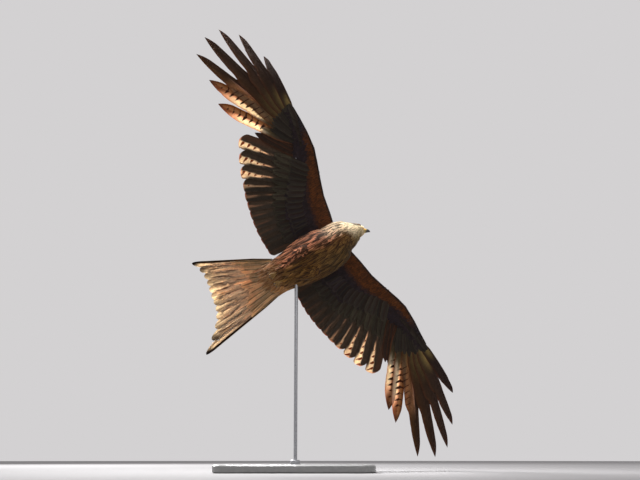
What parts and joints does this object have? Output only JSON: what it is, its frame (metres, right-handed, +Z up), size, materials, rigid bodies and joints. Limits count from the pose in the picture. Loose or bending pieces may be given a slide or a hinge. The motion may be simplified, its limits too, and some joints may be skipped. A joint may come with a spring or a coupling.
{
  "type": "bird of prey model",
  "caption": "Life-size red kite soaring in a banked turn with spread fingered wings and a fanned forked tail, held on a flat display stand by a slim rod.",
  "frame": {"origin": "centre of the stand base's flat underside", "axes": "+Z up; -Y towards a viewer who sees the bird's belly; +X to that viewer's right, the side the bill points to"},
  "size_m": [0.9532, 0.6283, 1.5582],
  "materials": {
    "body_plumage": "soft overlapping body feathers, rufous with dark streaks",
    "head_plumage": "short pale feathers with fine dark streaks",
    "wing_feathers": "smooth overlapping flight feathers and coverts, satin",
    "tail_feathers": "smooth overlapping tail feathers, satin",
    "eye": "wet gloss, amber with a dark pupil",
    "cere": "waxy bare skin",
    "bill": "smooth horn, satin",
    "foot": "scaled skin",
    "stand": "matt light grey paint"
  },
  "bodies": {
    "root": {"torso": "body_plumage", "rump": "body_plumage", "neck": "head_plumage", "head": "head_plumage", "eye_left": "eye", "eye_right": "eye", "cere": "cere", "bill_upper": "bill", "bill_lower": "bill", "wing_left_arm": "wing_feathers", "wing_left_hand": "wing_feathers", "wing_right_arm": "wing_feathers", "wing_right_hand": "wing_feathers", "tail": "tail_feathers", "thigh_left": "body_plumage", "thigh_right": "body_plumage", "foot_left": "foot", "foot_right": "foot", "stand_base": "stand", "stand_collar": "stand", "stand_rod": "stand"}
  },
  "joints": []
}
